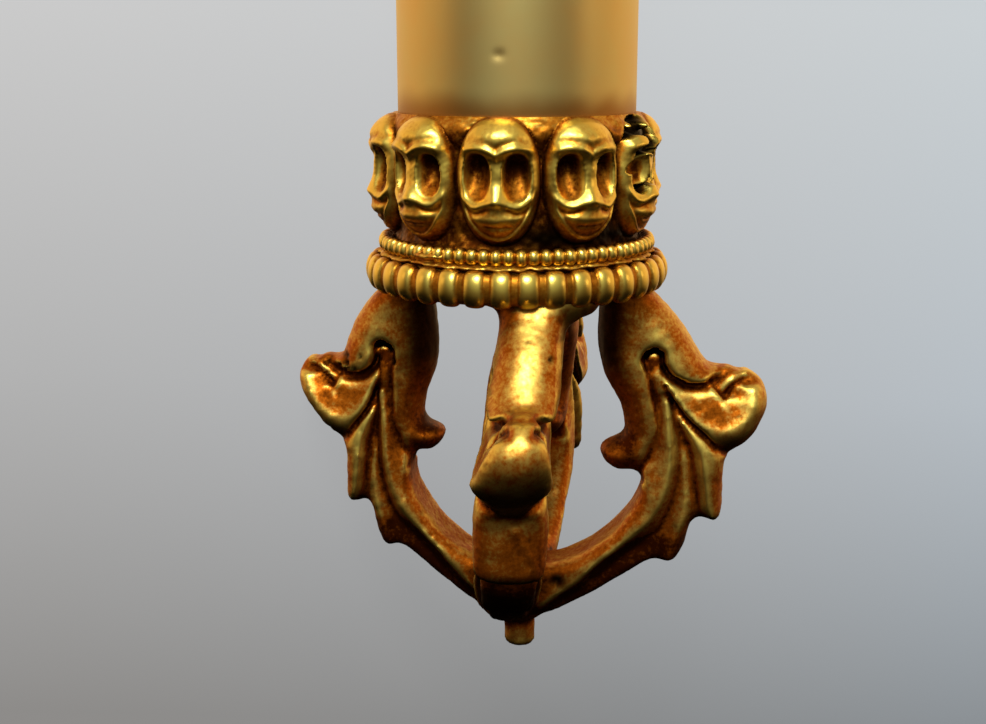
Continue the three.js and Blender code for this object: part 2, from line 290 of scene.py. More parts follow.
shaft_cylinder = on_cylinder(shaft_stations, shaft_turns)
shaft_radii = SHAFT_RADIUS - 0.03 + 0.03 * waves(shaft_cylinder, 30, 1).reshape(shaft_stations.shape)
shaft_radii -= dent(shaft_stations, shaft_turns, size=0.45, depth=0.1)
from_end = np.minimum(shaft_stations - shaft_from, END_LENGTH)
shaft_radii -= END_DROP * (1 - from_end / END_LENGTH) ** 2
EDGE_DROP = 0.12  # how far the edge of a closing disc is drawn in


def ended(grid):
    """A grid with two more rows at each end, which repeat its first and last rows."""
    return np.pad(grid, ((2, 2), (0, 0)), mode="edge")


def turned(name, stations, radii, turns, **shades):
    """A surface turned round the axis from a grid of radii, and closed: after the last row at each end come
    one a little further in and one on the axis itself, whose points are merged. The shades are one number per
    point each, and go to the mesh as named attributes."""
    closed = ended(radii)
    closed[[1, -2]] -= EDGE_DROP
    closed[[0, -1]] = 0
    points = in_row(ended(stations), closed * np.sin(ended(turns)), closed * np.cos(ended(turns)))
    made = new_mesh(name, points, grid_faces(*closed.shape)[:, ::-1])
    for shade, values in shades.items():
        give(made, shade, ended(values))
    poles = bmesh.new()
    poles.from_mesh(made.data)
    bmesh.ops.remove_doubles(poles, verts=poles.verts, dist=1e-7)
    poles.to_mesh(made.data)
    poles.free()
    return made


shaft_smear = 0.5 * waves(shaft_cylinder, 9, 6).reshape(shaft_stations.shape)
shaft_end = 0.8 * step(-28.8, -26.0, shaft_stations + shaft_smear)
shaft = turned("shaft_tube", shaft_stations, shaft_radii, shaft_turns, end=shaft_end)

# Satin gold sheet, rubbed round the tube with fine grit: soft broad stripes of light along it, and fine lines
# round it, drawn 0.2 mm apart so that they show. Cooler and warmer clouds lie 11 mm apart.
LINES_PER_METRE = 900.0
LINE_SQUEEZE = (6, 0.5, 0.5)
LINE_DEPTH = 0.00003
SHEET_CLOUDS_PER_METRE = 90.0
satin = bpy.data.materials.new("satin_gold_sheet")
satin.use_nodes = True
satin_tree = satin.node_tree
satin_shader = satin_tree.nodes["Principled BSDF"]
satin_shader.inputs["Metallic"].default_value = 1
satin_place = node(satin_tree, "ShaderNodeTexCoord").outputs["Object"]
satin_stretch = node(satin_tree, "ShaderNodeMapping", [(0, satin_place)])
satin_stretch.inputs["Scale"].default_value = LINE_SQUEEZE
satin_squeezed = satin_stretch.outputs[0]
satin_lines = node(
    satin_tree, "ShaderNodeTexNoise", [(0, satin_squeezed)], in2=LINES_PER_METRE, in3=3.0, in4=0.6
).outputs["Fac"]
satin_cloud = node(
    satin_tree, "ShaderNodeTexNoise", [(0, satin_place)], in2=SHEET_CLOUDS_PER_METRE, in3=4.0, in4=0.6
).outputs["Fac"]
satin_ramp = node(satin_tree, "ShaderNodeValToRGB", [(0, satin_cloud)])
satin_ramp.color_ramp.elements[0].position = 0.3
satin_ramp.color_ramp.elements[0].color = linear("CCAC68")
satin_ramp.color_ramp.elements[1].position = 0.7
satin_ramp.color_ramp.elements[1].color = linear("C4B878")
satin_end = node(satin_tree, "ShaderNodeAttribute", attribute_name="end").outputs["Fac"]
satin_links = [(0, satin_end), (6, satin_ramp.outputs["Color"])]
satin_mix = node(satin_tree, "ShaderNodeMix", satin_links, data_type="RGBA")
satin_mix.inputs[7].default_value = linear("8A5418")
satin_tree.links.new(satin_mix.outputs[2], satin_shader.inputs["Base Color"])
satin_shader.inputs["Roughness"].default_value = 0.42
satin_bump = node(satin_tree, "ShaderNodeBump", [(2, satin_lines)], in0=0.35, in1=LINE_DEPTH)
satin_tree.links.new(satin_bump.outputs[0], satin_shader.inputs["Normal"])
shaft.data.materials.append(satin)
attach(shaft, "root")
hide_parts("shaft")


# Collar of skull masks, one gold casting: a rough core with ten masks round it and a neck under them, which
# carries the fine ring of beads. It is soldered to the shaft, and some solder floods the beads on the left.
# One mask is eaten away by holes, painted black inside as shade.
MASKS = 10
MASK_STEP = 2 * math.pi / MASKS
MASK_PHASE = math.radians(-8.6)  # the front mask's turn to the picture's left
MASK_MIDDLE = -20.05
MASK_HALF_HEIGHT = 5.95
MASK_HALF_WIDTH = 4.2
MASK_RADIUS = 13.6  # widths on the masks are measured at this distance from the axis
CORE_RADIUS = 12.45
SOCKET_SIDE = 1.82  # a socket's middle, from the mask's own
SADDLE_STATION = -24.3
GAP_STATION = -14.8
FLOOD_STATION = -13.0
FLOOD_TURN = -0.62
SEAM_STATION = -12.1
collar_rows, collar_columns = 140, 700
collar_from, collar_to = COLLAR_TOP, -11.7
EATEN = 2  # counted from the front mask, to the right
collar_stations, collar_turns = np.meshgrid(
    np.linspace(collar_from, collar_to, collar_rows),
    np.linspace(0, 2 * math.pi, collar_columns, endpoint=False),
    indexing="ij",
)


def bell(distance, size):
    """1 at distance 0, falling smoothly to nothing past twice the size."""
    return np.exp(-((distance / size) ** 2))


def mask_relief(across, down, lean, eye_gap, eye_size, brow, smile):
    """Height of one skull mask over the core, in mm: an oval dome with a round forehead, one waved brow ridge
    over two deep oval sockets, a nose that drops from it, a cheek ridge like a low M, lips, and a jaw that
    ends in a thin raised rim."""
    across = across - lean * down
    side = np.abs(across)
    jaw = 1 - 0.07 * step(0.5, 5.5, down)
    oval = (side / (MASK_HALF_WIDTH * jaw)) ** 2.5 + (np.abs(down) / MASK_HALF_HEIGHT) ** 2.5
    inside = np.clip(1 - oval, 0, 1)
    height = 1.95 * inside ** (0.4 + 0.3 * step(0.0, 2.6, down))
    forehead = 0.8 * bell(across, 2.8) * bell(down + 4.1, 1.35)
    socket_across = np.abs((side - eye_gap) / (1.3 * eye_size))
    socket = socket_across**2.3 + np.abs((down + 0.55) / (2.2 * eye_size)) ** 2.3
    hollow = (1.45 - 0.3 * (down + 0.5)) * np.clip(1 - socket, 0, 1) ** 0.75
    brow_line = -3.15 + 0.65 * ((side - 2.05) / 2.0) ** 2
    ridge = 0.9 * brow * bell(down - brow_line, 0.52) * step(3.7, 2.9, side)
    crease = 0.09 * bell(down - brow_line + 0.7, 0.35) * step(3.4, 2.4, side)
    nose = 0.58 * bell(across, 0.85) * bell(down - 1.3, 0.95)
    bridge = 0.16 * bell(across, 0.7) * bell(down + 0.7, 1.2)
    cheek_line = 1.75 + 0.45 * bell(side - 1.9, 0.9) - smile * (np.maximum(side - 2.2, 0)) ** 2
    cheek = 0.31 * bell(down - cheek_line, 0.44) * step(3.7, 3.1, side)
    groove = 0.18 * bell(down - cheek_line - 0.6, 0.28) * step(3.2, 2.2, side) * step(0.5, 1.3, side)
    lip = 0.12 * bell(down - 3.4 + 0.05 * side**2, 0.4) * step(3.0, 1.6, side)
    mouth = 0.16 * bell(down - 4.05 + 0.05 * side**2, 0.17) * step(1.7, 0.8, side)
    jaw_line = np.sqrt((side / (3.6 * jaw)) ** 2 + (np.maximum(down, 0) / 5.45) ** 2)
    rim = 0.2 * bell(jaw_line - 0.985, 0.035) * step(0.6, 2.2, down)
    trench = 0.08 * bell(jaw_line - 0.91, 0.04) * step(1.4, 3.0, down)
    chin = 0.65 * bell(across, 2.7) * bell(down - 3.4, 1.5)
    raised = forehead + ridge + nose + bridge + cheek + lip + rim + chin
    carved = raised - hollow - groove - mouth - trench - crease
    edge_fade = step(0.01, 0.22, inside)
    return np.maximum(height + carved * edge_fade, 0) * (inside > 0)


core_cylinder = on_cylinder(collar_stations, collar_turns)
rough_core = waves(core_cylinder, 2.2, 4).reshape(collar_stations.shape)
collar_turn = (collar_turns - MASK_PHASE) / MASK_STEP
collar_index = np.round(collar_turn).astype(int) % MASKS
mask_draw = np.random.default_rng(12)
mask_habits = {
    "lean": mask_draw.normal(0, 0.025, MASKS),
    "eye_gap": SOCKET_SIDE + mask_draw.normal(0, 0.07, MASKS),
    "eye_size": 1 + mask_draw.normal(0, 0.05, MASKS),
    "brow": 0.42 + mask_draw.normal(0, 0.06, MASKS),
    "smile": 0.35 + mask_draw.normal(0, 0.1, MASKS),
}
collar_across = (collar_turn - np.round(collar_turn)) * MASK_STEP * MASK_RADIUS
collar_down = collar_stations - MASK_MIDDLE
habits = {key: values[collar_index] for key, values in mask_habits.items()}
collar_relief = mask_relief(collar_across, collar_down, **habits)
collar_ends = step(collar_from, collar_from + 0.6, collar_stations)
collar_radii = CORE_RADIUS + 0.16 * rough_core * (collar_relief < 0.2) * collar_ends + collar_relief
collar_radii += 0.05 * waves(core_cylinder, 1.6, 9).reshape(collar_stations.shape) * (collar_relief > 0.2)
saddle = 0.75 * bell(collar_stations - SADDLE_STATION, 1.2) * step(0.35, 0.0, collar_relief)
collar_radii += saddle * collar_ends
collar_turned = (collar_turns + math.pi) % (2 * math.pi) - math.pi
seam = bell(collar_stations - SEAM_STATION, 0.52)
flooded = bell(collar_stations - FLOOD_STATION, 0.8) * bell(collar_turned - FLOOD_TURN, 0.36)
collar_radii += np.maximum(1.7 * seam, 1.65 * flooded) * (1 + 0.2 * rough_core)
worms = waves(core_cylinder, 2.6, 21, 2).reshape(collar_stations.shape)
in_eaten = (collar_index == EATEN) * step(0.05, 0.5, collar_relief) * step(2.6, 1.0, collar_down)
holes = step(-0.1, 0.3, worms) * in_eaten
collar_radii -= 1.5 * holes


def grid_shading(radii, reach_rows, reach_columns):
    """Worn and open values on a closed grid of radii: how far a point stands over the surface blurred a
    little, and how far over the surface blurred more widely."""

    def blurred(values, rows, columns):
        out = values
        for axis, count in ((0, rows), (1, columns)):
            total = np.zeros_like(out)
            for shift in range(-count, count + 1):
                if axis:
                    total += np.roll(out, shift, axis=1)
                else:
                    total += out[np.clip(np.arange(len(out)) + shift, 0, len(out) - 1)]
            out = total / (2 * count + 1)
        return out

    near = radii - blurred(radii, reach_rows // 3, reach_columns // 3)
    far = radii - blurred(radii, reach_rows, reach_columns)
    worn = np.clip(0.5 + near / 0.5, 0, 1)
    seen = np.clip(0.75 + far / 1.6, 0, 1)
    return worn, seen


# Edges are bright and hollows deep. Solder is clean. The masks are painted darker towards the chin as shade,
# and darker at their sides. Black is painted as shade under the masks, in the tops of the sockets and in the
# eaten holes.
collar_worn, collar_open = grid_shading(collar_radii, 14, 16)
collar_worn = collar_worn * (0.55 + 0.45 * step(0.2, 0.8, collar_relief))
# Painted shade darkens the masks towards the chin. They are also darker at their sides.
collar_worn = collar_worn * (1 - 0.5 * step(2.2, 4.6, collar_down))
collar_worn = collar_worn * (1 - 0.35 * step(3.0, 3.9, np.abs(collar_across)))
under_shaft = 0.9 * step(-24.0, -25.2, collar_stations) * step(0.5, 0.1, collar_relief)
smeared = np.max([seam, under_shaft, flooded], axis=0)
collar_worn = np.maximum(collar_worn, 0.42 * smeared)
collar_open = np.maximum(collar_open, 0.9 * smeared)
# Painted shade: black under the masks, stronger to the right, in the tops of the sockets and in the eaten
# holes.
shaded_side = 0.4 + 0.6 * step(-0.35, 0.2, collar_turned)
shade_under_masks = shaded_side * bell(collar_stations - GAP_STATION, 1.9) * step(0.5, 0.1, collar_relief)
socket_top_shade = 0.7 * bell(np.abs(collar_across) - SOCKET_SIDE, 0.95) * bell(collar_down + 1.7, 0.85)
eaten_hole_shade = step(-0.1, 0.1, worms) * in_eaten
collar_dirt = np.max([eaten_hole_shade, shade_under_masks * (1 - flooded), socket_top_shade], axis=0)
collar_shades = {"worn": collar_worn, "open": collar_open, "dirt": collar_dirt}
collar = turned("skull_mask_collar", collar_stations, collar_radii, collar_turns, **collar_shades)


# High-carat gold, cast and rubbed by hand. Its edges are polished pale and bright, its recesses keep a warm
# brown tarnish, and the eye sees blotches of both between. Places that see little of their surroundings are
# painted darker as shade, and black is painted on as shade where it is asked for.
CLOUDS_PER_METRE = 420.0  # blotches of tarnish 2.4 mm across
GRAINS_PER_METRE = 2400.0  # casting grain of 0.4 mm
GRAIN_DEPTH = 0.00012


def gold(name, deep, middle, bright, rough_worn, rough_deep, grain):
    """A gold from deep through middle to bright. The attribute worn runs from 0 in a recess to 1 on an edge,
    open is how much of the surroundings a point sees and darkens the colour as painted shade where it is low,
    and the third attribute is the share of black painted on as shade."""
    made = bpy.data.materials.new(name)
    made.use_nodes = True
    tree = made.node_tree
    shader = tree.nodes["Principled BSDF"]
    shader.inputs["Metallic"].default_value = 1
    worn = node(tree, "ShaderNodeAttribute", attribute_name="worn").outputs["Fac"]
    opened = node(tree, "ShaderNodeAttribute", attribute_name="open").outputs["Fac"]
    dirt = node(tree, "ShaderNodeAttribute", attribute_name="dirt").outputs["Fac"]
    place = node(tree, "ShaderNodeTexCoord").outputs["Object"]
    clouds = node(tree, "ShaderNodeTexNoise", [(0, place)], in2=CLOUDS_PER_METRE, in3=4.0, in4=0.65)
    grains = node(tree, "ShaderNodeTexNoise", [(0, place)], in2=GRAINS_PER_METRE, in3=3.0, in4=0.6)
    both_noises = [(0, grains.outputs["Fac"]), (1, clouds.outputs["Fac"])]
    # Painted shade: where open is low, the colour is darker.
    mixed = node(tree, "ShaderNodeMath", [(0, worn), (1, opened)], operation="MULTIPLY").outputs[0]
    both = node(tree, "ShaderNodeMath", both_noises, operation="ADD").outputs[0]
    spread = node(tree, "ShaderNodeMath", [(0, both)], operation="MULTIPLY_ADD", in1=0.5, in2=-0.5)
    level_sum = [(0, mixed), (1, spread.outputs[0])]
    level = node(tree, "ShaderNodeMath", level_sum, operation="ADD", use_clamp=True).outputs[0]
    ramp = node(tree, "ShaderNodeValToRGB", [(0, level)])
    points = ramp.color_ramp.elements
    points[0].position = 0.02
    points[0].color = linear(deep)
    points[1].position = 0.62
    points[1].color = linear(bright)
    points.new(0.28).color = linear(middle)
    # Painted shade: black is mixed in by the third attribute.
    black = node(tree, "ShaderNodeMix", [(0, dirt), (6, ramp.outputs["Color"])], data_type="RGBA")
    black.inputs[7].default_value = linear("120A02")
    tree.links.new(black.outputs[2], shader.inputs["Base Color"])
    rough = node(tree, "ShaderNodeMapRange", [(0, level)], in1=0.1, in2=0.8, in3=rough_deep, in4=rough_worn)
    tree.links.new(rough.outputs[0], shader.inputs["Roughness"])
    bump = node(tree, "ShaderNodeBump", [(2, both)], in0=grain, in1=GRAIN_DEPTH)
    tree.links.new(bump.outputs[0], shader.inputs["Normal"])
    return made


cast_gold = gold(
    "cast_gold_with_warm_recesses", "4A2004", "A8681A", "DCBC54", rough_worn=0.3, rough_deep=0.5, grain=0.4
)
collar.data.materials.append(cast_gold)
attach(collar, "root")
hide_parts("skull_collar")


# Beaded rings, gold wires rolled into beads under a grooved tool. The fine one is soldered round the
# collar's neck and the heavy one round the cage's foot.
RING_TURN = math.radians(1.6)  # how far the first gap lies to the left of the front


def bead_ring(name, at, radius, beads, half_height, half_rise, per_bead, around, spacer, plump, seed):
    """A ring of beads: an oval section carried round the axis. Each bead swells in a half circle over twice
    plump of its place, and between beads the section keeps the share spacer of its size. Sizes and places
    wander a little."""
    columns = beads * per_bead
    turns = np.linspace(0, 2 * math.pi, columns, endpoint=False)
    sections = np.linspace(0, 2 * math.pi, around, endpoint=False)
    phase = (turns * beads / (2 * math.pi)) % 1
    index = (turns * beads / (2 * math.pi)).astype(int)
    draw = np.random.default_rng(seed)
    size = 1 + draw.normal(0, 0.045, beads)[index]
    wander = draw.normal(0, 0.05, beads)[index]
    swell = np.sqrt(np.clip(1 - ((phase - 0.5) / plump) ** 2, 0, 1))
    share = (spacer + (1 - spacer) * swell) * (1 + (size - 1) * swell)
    height = half_height * (0.5 + 0.5 * share)
    grid_share = share[:, None] * np.ones(around)
    stations = at + height[:, None] * np.sin(sections) + 0.3 * (wander * swell)[:, None]
    outward = half_rise * np.cos(sections)
    radii = radius + np.where(np.cos(sections) > 0, outward * grid_share, outward)
    angle = (turns[:, None] - RING_TURN) * np.ones(around)
    points = in_row(stations, radii * np.sin(angle), radii * np.cos(angle))
    made = new_mesh(name, points, closed_ring_faces(columns, around))
    worn = (swell**1.5)[:, None] * np.clip(0.35 + np.cos(sections), 0, 1)
    give(made, "worn", 0.25 + 0.65 * worn)
    # Painted shade: open falls on the beads' sides and towards the axis, which darkens them.
    give(made, "open", np.clip(0.3 + 0.9 * np.cos(sections) * np.ones_like(worn), 0, 1))
    return made


def closed_ring_faces(columns, around):
    """Quads of a grid closed both round the axis and round its section."""
    i, j = np.meshgrid(np.arange(columns), np.arange(around), indexing="ij")
    i_next = (i + 1) % columns
    j_next = (j + 1) % around
    row, next_row = i * around, i_next * around
    corners = [row + j, row + j_next, next_row + j_next, next_row + j]
    return np.stack([c.ravel() for c in corners], axis=1)


fine_beads = {"beads": 72, "half_height": 0.84, "half_rise": 0.8, "spacer": 0.2, "plump": 0.46}
heavy_beads = {"beads": 36, "half_height": 1.85, "half_rise": 1.2, "spacer": 0.62, "plump": 0.36}
fine_ring = bead_ring("fine_beads", -13.1, 13.4, per_bead=14, around=16, seed=3, **fine_beads)
heavy_ring = bead_ring("heavy_beads", -10.2, 14.35, per_bead=24, around=24, seed=5, **heavy_beads)
bead_gold = gold(
    "beaded_gold_wire", "5A2A06", "A86C1C", "DCBE58", rough_worn=0.28, rough_deep=0.45, grain=0.3
)
for ring, replaced in ((fine_ring, "fine_bead_ring"), (heavy_ring, "heavy_bead_ring")):
    ring.data.materials.append(bead_gold)
    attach(ring, "root")
    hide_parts(replaced)


# Cage of four scrolled prongs on a foot, one casting, closed on a small stub. Its sides are chased: under a
# lip hangs a dished lobe with a thick rim, a hollow eye sits over the hook, and leaf ridges fan out from it.
VOXEL = 0.3  # the size of a cell
CAGE_FROM, CAGE_TO = -12.6, 32.4
CAGE_HALF = 28.2
PLAN_FROM, PLAN_TO = -4.0, 29.0  # distances out from the axis
PLAN_STEP = 0.15
OPEN_REACH = 6.0
PRONG_TURNS = (-1, 83, 167, -98)  # degrees round the axis: the front, right, back and left prong
PRONG_SHRINK = (0, 0, 0, 0.172)  # the left prong is bent in
PRONG_RAISE = (0, 0, 0, 1)  # how far the left prong's hook and leaves sit higher than the others'
SWAY_STATIONS = (-9, -1, 6, 14, 24, 32)  # at these the prongs lean sideways by the following
STRAIGHT = (0, 0, 0, 0, 0, 0)
SWAYS = ((2.0, 0.8, -0.4, -0.5, -0.8, -0.5), STRAIGHT, (-1.2, -1.2, -0.5, -0.5, 0, 0), STRAIGHT)
FOOT_RADIUS = 12.75
FOOT_MIDDLE, FOOT_HALF = -10.15, 1.75
STUB_RADIUS = 1.72
STUB_MIDDLE, STUB_HALF = 27.4, 4.45


def curve(points, closed=False, steps=5):
    """A smooth line through a few points: between each two, the cubic whose slopes join their neighbours."""
    points = np.array(points, dtype=float)
    if closed:
        framed = np.concatenate([points[-1:], points, points[:2]])
    else:
        framed = np.concatenate([2 * points[:1] - points[1:2], points, 2 * points[-1:] - points[-2:-1]])
    share = np.linspace(0, 1, steps, endpoint=False)[:, None]
    line = []
    for before, start, end, after in zip(framed, framed[1:], framed[2:], framed[3:]):
        line.append(
            start
            + 0.5 * share * (end - before)
            + share**2 * (before - 2.5 * start + 2 * end - 0.5 * after)
            + share**3 * (1.5 * (start - end) + 0.5 * (after - before))
        )
    return np.concatenate(line if closed else [*line, points[-1:]])


def along_line(grid, line):
    """For each point of a plan: its distance to a line, the share of the line where it is nearest, and the
    side it lies on, 1 where the line's left is."""
    starts, ends = line[:-1], line[1:]
    lengths = np.linalg.norm(ends - starts, axis=1)
    run = np.concatenate([[0], np.cumsum(lengths)])
    best = np.full(grid.shape[:-1], 1e9)
    share = np.zeros_like(best)
    side = np.ones_like(best)
    for index, (start, end) in enumerate(zip(starts, ends)):
        if lengths[index] < 1e-9:
            continue
        step_along = end - start
        away = grid - start
        part = np.clip((away @ step_along) / lengths[index] ** 2, 0, 1)
        gap = away - part[..., None] * step_along
        distance = np.hypot(gap[..., 0], gap[..., 1])
        nearer = distance < best
        best = np.where(nearer, distance, best)
        share = np.where(nearer, (run[index] + part * lengths[index]) / run[-1], share)
        cross = step_along[0] * away[..., 1] - step_along[1] * away[..., 0]
        side = np.where(nearer, np.sign(cross), side)
    return best, share, side


def within(grid, outline):
    """Distance to a closed outline, positive inside it and negative outside."""
    loop = np.concatenate([outline, outline[:1]])
    distance = along_line(grid, loop)[0]
    odd = np.zeros(grid.shape[:-1], dtype=bool)
    for start, end in zip(loop[:-1], loop[1:]):
        crosses = (start[1] > grid[..., 1]) != (end[1] > grid[..., 1])
        rise = end[1] - start[1] if end[1] != start[1] else 1
        at = start[0] + (grid[..., 1] - start[1]) * (end[0] - start[0]) / rise
        odd ^= crosses & (grid[..., 0] < at)
    return np.where(odd, distance, -distance)


def blend_max(first, second, reach):
    """The larger of two fields, with the corner between them rounded over a reach."""
    mix = np.clip(0.5 + 0.5 * (first - second) / reach, 0, 1)
    return second * (1 - mix) + first * mix + reach * mix * (1 - mix)


# One prong is drawn on a plan, by station and distance out from the axis: first its outline and the parts it
# is chased into, then at each point half of its thickness, the rounding of its edges and its tarnish.
plan_stations = np.arange(CAGE_FROM, CAGE_TO, PLAN_STEP)
plan_outs = np.arange(PLAN_FROM, PLAN_TO, PLAN_STEP)
plan = np.stack(np.meshgrid(plan_stations, plan_outs, indexing="ij"), axis=-1)
prong_outline = curve(
    [
        (-11, 11.4), (-9.2, 12.2), (-8.2, 13.9), (-6.6, 15.6), (-4.5, 17.4), (-2.4, 18.7), (-0.7, 19.9),
        (-0.35, 21.1), (-0.4, 22.1), (0.0, 23.1), (0.0, 24.2), (1.2, 25.6), (3.2, 26.25), (5.5, 25.6),
        (7.5, 24.3), (8.6, 22.9), (9.3, 22.2), (10.8, 21.95), (12.9, 21.95), (15.2, 21.9), (16.2, 21.2),
        (16.1, 19.7), (16.7, 18.9), (18.1, 18.5), (19.9, 17.9), (20.9, 16.9), (20.9, 14.9), (22.3, 12.5),
        (24.4, 9.5), (26.4, 6.3), (27.7, 3.5), (28.7, 0.5), (28.2, -2.0), (24, -2.6), (21.4, -1.0),
        (21.9, 2.0), (21.6, 4.6), (20.7, 6.9), (18.7, 9.7), (16.7, 11.5), (14.8, 12.8), (12.8, 13.5),
        (11.4, 12.9), (11.2, 10.9), (10.3, 9.6), (9.1, 9.1), (8.2, 9.7), (7.4, 11.2), (6.2, 11.6),
        (4, 11.1), (2.3, 10.2), (0.6, 9.3), (-2, 8.7), (-4.6, 8.6), (-8.4, 8.8), (-11, 9.0),
    ],
    closed=True,
)
edge = within(plan, prong_outline)
stem_plate = within(
    plan,
    curve(
        [
            (-14, 4), (-14, 24), (-1.6, 23.2), (-0.75, 22.2), (-0.5, 21.3), (0.3, 20.5), (0.95, 19.7),
            (1.1, 18.6), (0.7, 17.2), (0.0, 16.1), (-1.1, 15.5), (-2.1, 15.3), (-2.45, 14.5), (-2.1, 13.7),
            (-1.2, 13.35), (0.5, 14.0), (2.5, 14.4), (4.5, 14.8), (6.2, 15.0), (7.8, 14.7), (9.4, 14.2),
            (10.7, 13.6), (12.4, 13.2), (12.4, 8), (2, 6),
        ],
        closed=True,
    ),
)
lobe_plate = within(
    plan,
    curve(
        [
            (-0.9, 15.3), (1.4, 15.75), (2.9, 16.7), (4.4, 17.75), (5.5, 18.9), (6.9, 20.4), (8.3, 21.5),
            (8.9, 22.4), (9.6, 24.0), (10, 30), (-5, 31), (-3.5, 22.6), (-1, 19), (-1.6, 16.2),
        ],
        closed=True,
    ),
)
lobe_rim = curve(
    [
        (1.3, 16.1), (3.2, 17.3), (4.6, 18.6), (5.5, 19.9), (5.9, 21.4), (5.5, 23.0), (4.4, 24.2),
        (2.7, 24.8), (1.1, 24.5), (-0.2, 23.6),
    ]
)
rim_far, rim_share, rim_side = along_line(plan, lobe_rim)
rim_height = np.interp(rim_share, [0, 0.3, 0.55, 0.75, 0.9, 1], [3.0, 3.5, 3.75, 3.2, 2.4, 1.9])
lobe_dish = rim_height - 0.19 * rim_far - 0.28 * (1 - np.exp(-rim_far / 0.9))
lobe_edge = rim_height - 0.26 * rim_far**2
inward = rim_side > 0
lobe = np.where(inward, np.maximum(lobe_dish, 1.9), lobe_edge)
lip = curve([(-0.6, 15.5), (0.5, 16.4), (1.35, 17.6), (1.6, 19.1), (1.3, 20.5), (0.4, 21.5), (-0.4, 22.5)])
lip_far = along_line(plan, lip)[0]
crack = curve([(2.8, 21.6), (1.6, 22.4), (0.9, 23.4), (0.7, 24.6), (0.6, 26)])
crack_far, crack_share, _ = along_line(plan, crack)
crack_open = step(0.35, 0.75, crack_share)
lobe = lobe - 0.7 * bell(lip_far, 0.5)
lobe = lobe - (0.45 + 1.5 * crack_open) * bell(crack_far, 0.25 + 0.3 * crack_open)

blade_ridge = curve(
    [
        (0.6, 15.2), (2.7, 15.9), (5.9, 16.2), (9.1, 16.5), (11.2, 16.3), (14, 15.5), (16.3, 14),
        (18.6, 11.5), (20.4, 9.4), (22.2, 7.7), (24.0, 5.8), (26.5, 2.5),
    ]
)
blade_far, blade_share, blade_side = along_line(plan, blade_ridge)
blade_height = np.interp(blade_share, [0, 0.2, 0.5, 0.75, 1], [2.5, 3.1, 3.55, 3.6, 3.2])
flat_slope = np.interp(blade_share, [0, 0.25, 0.45, 1], [0.55, 0.4, 0.06, 0.02])
blade = np.where(blade_side > 0, blade_height - 0.95 * blade_far, blade_height - flat_slope * blade_far)
leaf_ridge = curve(
    [(2.2, 16.5), (5.0, 17.4), (6.8, 18.6), (8.9, 19.6), (12.2, 20.2), (14.3, 20.6), (16.0, 21.2)]
)
leaf_far, leaf_share, leaf_side = along_line(plan, leaf_ridge)
leaf_height = np.interp(leaf_share, [0, 0.35, 0.6, 1], [2.3, 3.1, 3.6, 3.65])
leaf = np.where(leaf_side > 0, leaf_height - 0.04 * leaf_far, leaf_height - 1.15 * leaf_far)
leaf = leaf - 0.7 * step(15.0, 16.6, plan[..., 0]) ** 2
tip_ridge = curve([(8.6, 17.7), (12.8, 18.2), (15.5, 17.9), (18.4, 17.0), (20.6, 16.6)])
tip_far, tip_share, _ = along_line(plan, tip_ridge)
tip_leaf = np.interp(tip_share, [0, 0.6, 1], [2.3, 2.75, 2.5]) - 0.4 * tip_far
trunk_ridge = curve([(-4, 12), (-1, 11.6), (1.5, 12.2), (4.2, 12.9), (6.6, 13.0), (8.6, 12.2), (9.6, 10.8)])
trunk_far, trunk_share, _ = along_line(plan, trunk_ridge)
trunk = np.interp(trunk_share, [0, 0.6, 0.85, 1], [3.55, 3.3, 3.0, 2.7]) - 0.1 * trunk_far**2

# The stem runs from the foot and over into the inner hook, and stands proud of the leaves and the lobe.
stem = np.interp(plan[..., 0], [-9, -5, -1, 3], [3.3, 3.2, 3.5, 3.5])
trunk_part = step(-2.5, 4.5, plan[..., 0]) * step(15.6, 14.2, plan[..., 1])
body = stem * (1 - trunk_part) + trunk * trunk_part
body = body - 0.5 * np.exp(-np.maximum(stem_plate, 0) / 0.35)
stem_mask = step(-0.12, 0.12, stem_plate)
lobe_mask = step(-0.12, 0.12, lobe_plate)
outer_leaf = np.maximum(tip_leaf, 2.0)
half_width = np.maximum(np.maximum(blade, leaf), outer_leaf)
half_width = blend_max(half_width, outer_leaf, 0.25)
under_lobe = bell(np.minimum(lobe_plate, 0), 0.5) * (plan[..., 0] > 0)
half_width = half_width - 0.7 * under_lobe * step(22.4, 20.6, plan[..., 1])
lobe_least = np.where(plan[..., 0] > 6, 2.1, 1.1)
half_width = half_width * (1 - lobe_mask) + np.maximum(lobe, lobe_least) * lobe_mask
half_width = half_width * (1 - stem_mask) + np.maximum(body, 2.2) * stem_mask

# The hollow eye: a low knob in the gap where stem and lobe part, with a slit round its upper end.
eye_up = plan[..., 0] + 1.05
eye_out = plan[..., 1] - 14.45
eye_ring = np.hypot(eye_up, eye_out)
pill_far = along_line(plan, curve([(-1.05, 14.45), (0.2, 14.8), (1.6, 15.4)]))[0]
eye_slit = step(0.8, 1.1, pill_far) * step(0.3, -0.3, eye_up)
pill = 2.35 + 0.3 * np.clip(eye_up, 0, 1.6) - 0.4 * pill_far**2
eye_knob = blend_max(half_width, pill, 0.4) - 1.3 * eye_slit
half_width = np.where((stem_plate < 0.05) & (lobe_plate < 0), eye_knob, half_width)
half_width = half_width + 0.9 * bell(plan[..., 0] + 9.3, 1.5)
rounding = np.where(stem_mask > 0.5, 3.5, 0.9)
outer_part = step(17.5, 20.0, plan[..., 1] + 0.25 * np.maximum(plan[..., 0] - 15, 0))
rounding = rounding + 1.6 * outer_part * (stem_mask < 0.5)
rounding = rounding + 0.9 * step(12, 14.5, plan[..., 0]) * (blade_side < 0) * (stem_mask < 0.5)
rounding = np.minimum(rounding, (0.85 + 0.18 * stem_mask) * half_width)
